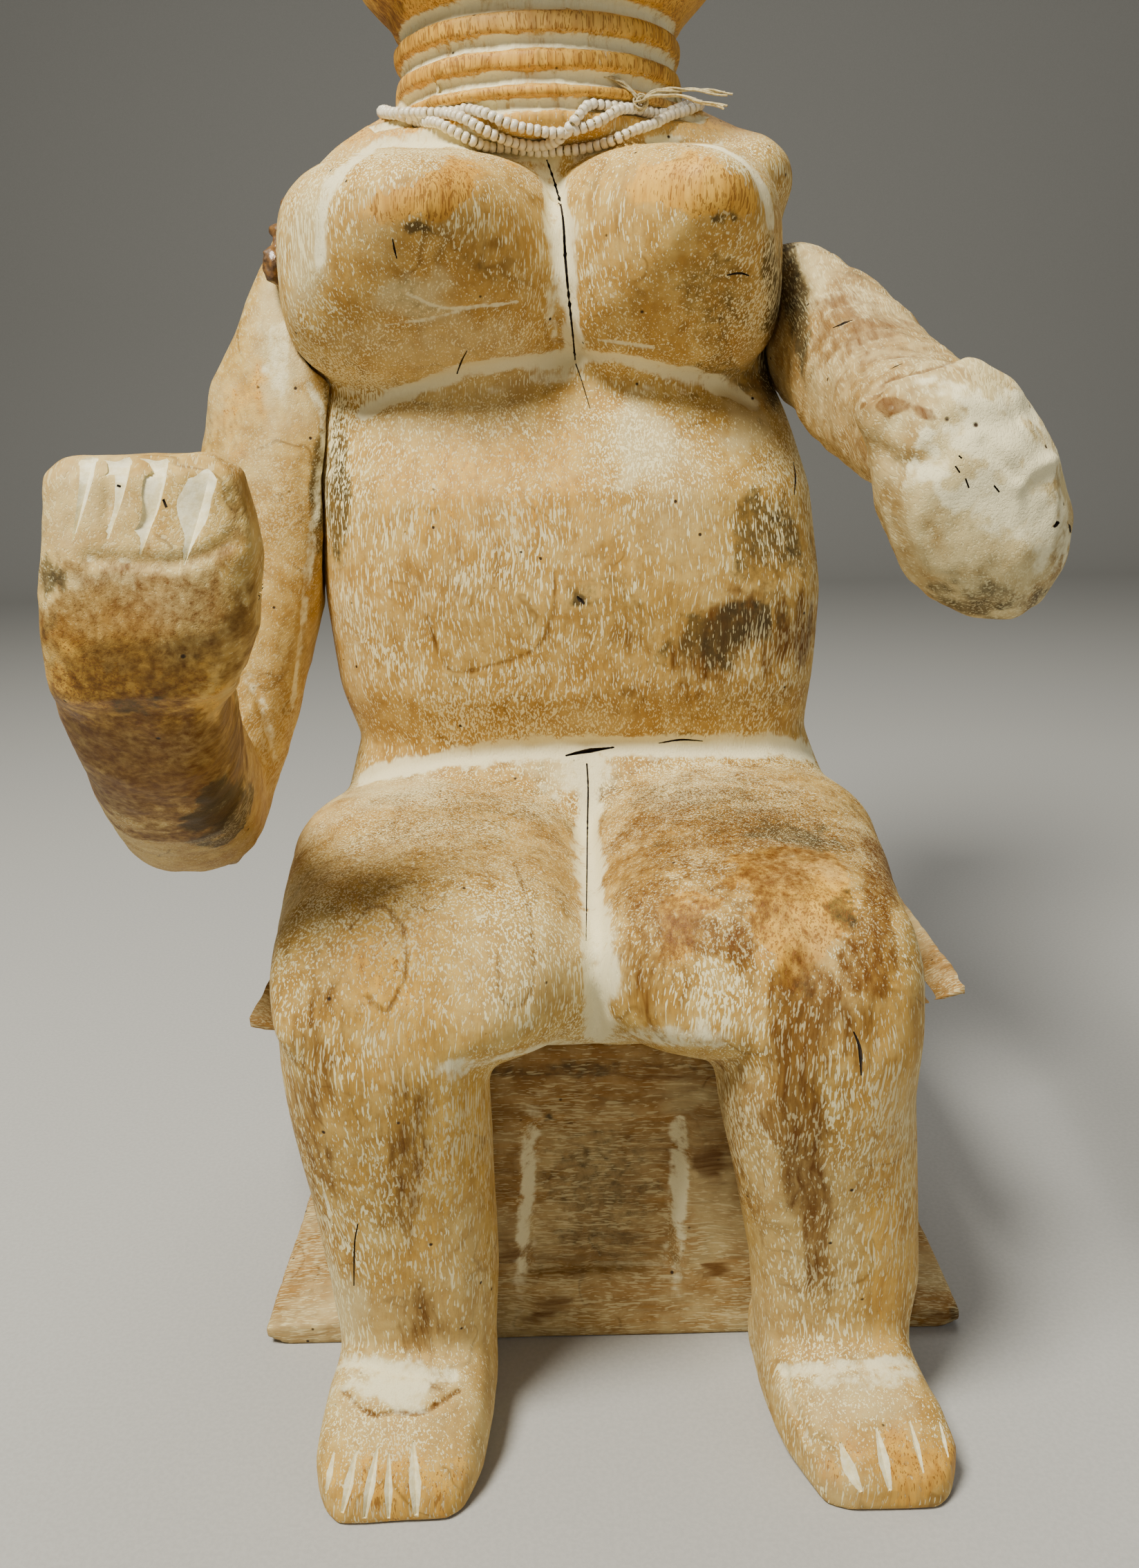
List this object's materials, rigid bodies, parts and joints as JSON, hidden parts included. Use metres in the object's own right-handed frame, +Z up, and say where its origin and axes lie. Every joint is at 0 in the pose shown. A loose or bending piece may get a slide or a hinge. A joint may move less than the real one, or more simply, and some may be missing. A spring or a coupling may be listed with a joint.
{
  "type": "carved seated female figure",
  "caption": "Carved wooden woman seated on a low curved stool, arms held forward, with ringed neck and a bead necklace.",
  "frame": {"origin": "middle of the stool's flat underside, on the surface that the figure stands on", "axes": "+Z up, the woman faces -Y, +X at her left hand"},
  "size_m": [0.2243, 0.2203, 0.4779],
  "materials": {
    "body_wood": "worn pale wash over honey-coloured wood, chalk white in the carved lines",
    "arm_wood": "thicker pale wash over the same wood, with brown stains",
    "stool_wood": "worn pale wash over honey-coloured wood, grain running sideways",
    "old_glue": "dried brown glue, slightly glossy",
    "bead_glass": "opaque white seed beads, slightly glossy",
    "thread": "cream cotton thread"
  },
  "bodies": {
    "root": {"figure": "body_wood", "right_arm": "arm_wood", "left_arm": "arm_wood", "stool": "stool_wood", "shoulder_repair": "old_glue", "bead_necklace": "bead_glass", "thread_ends": "thread"}
  },
  "joints": []
}
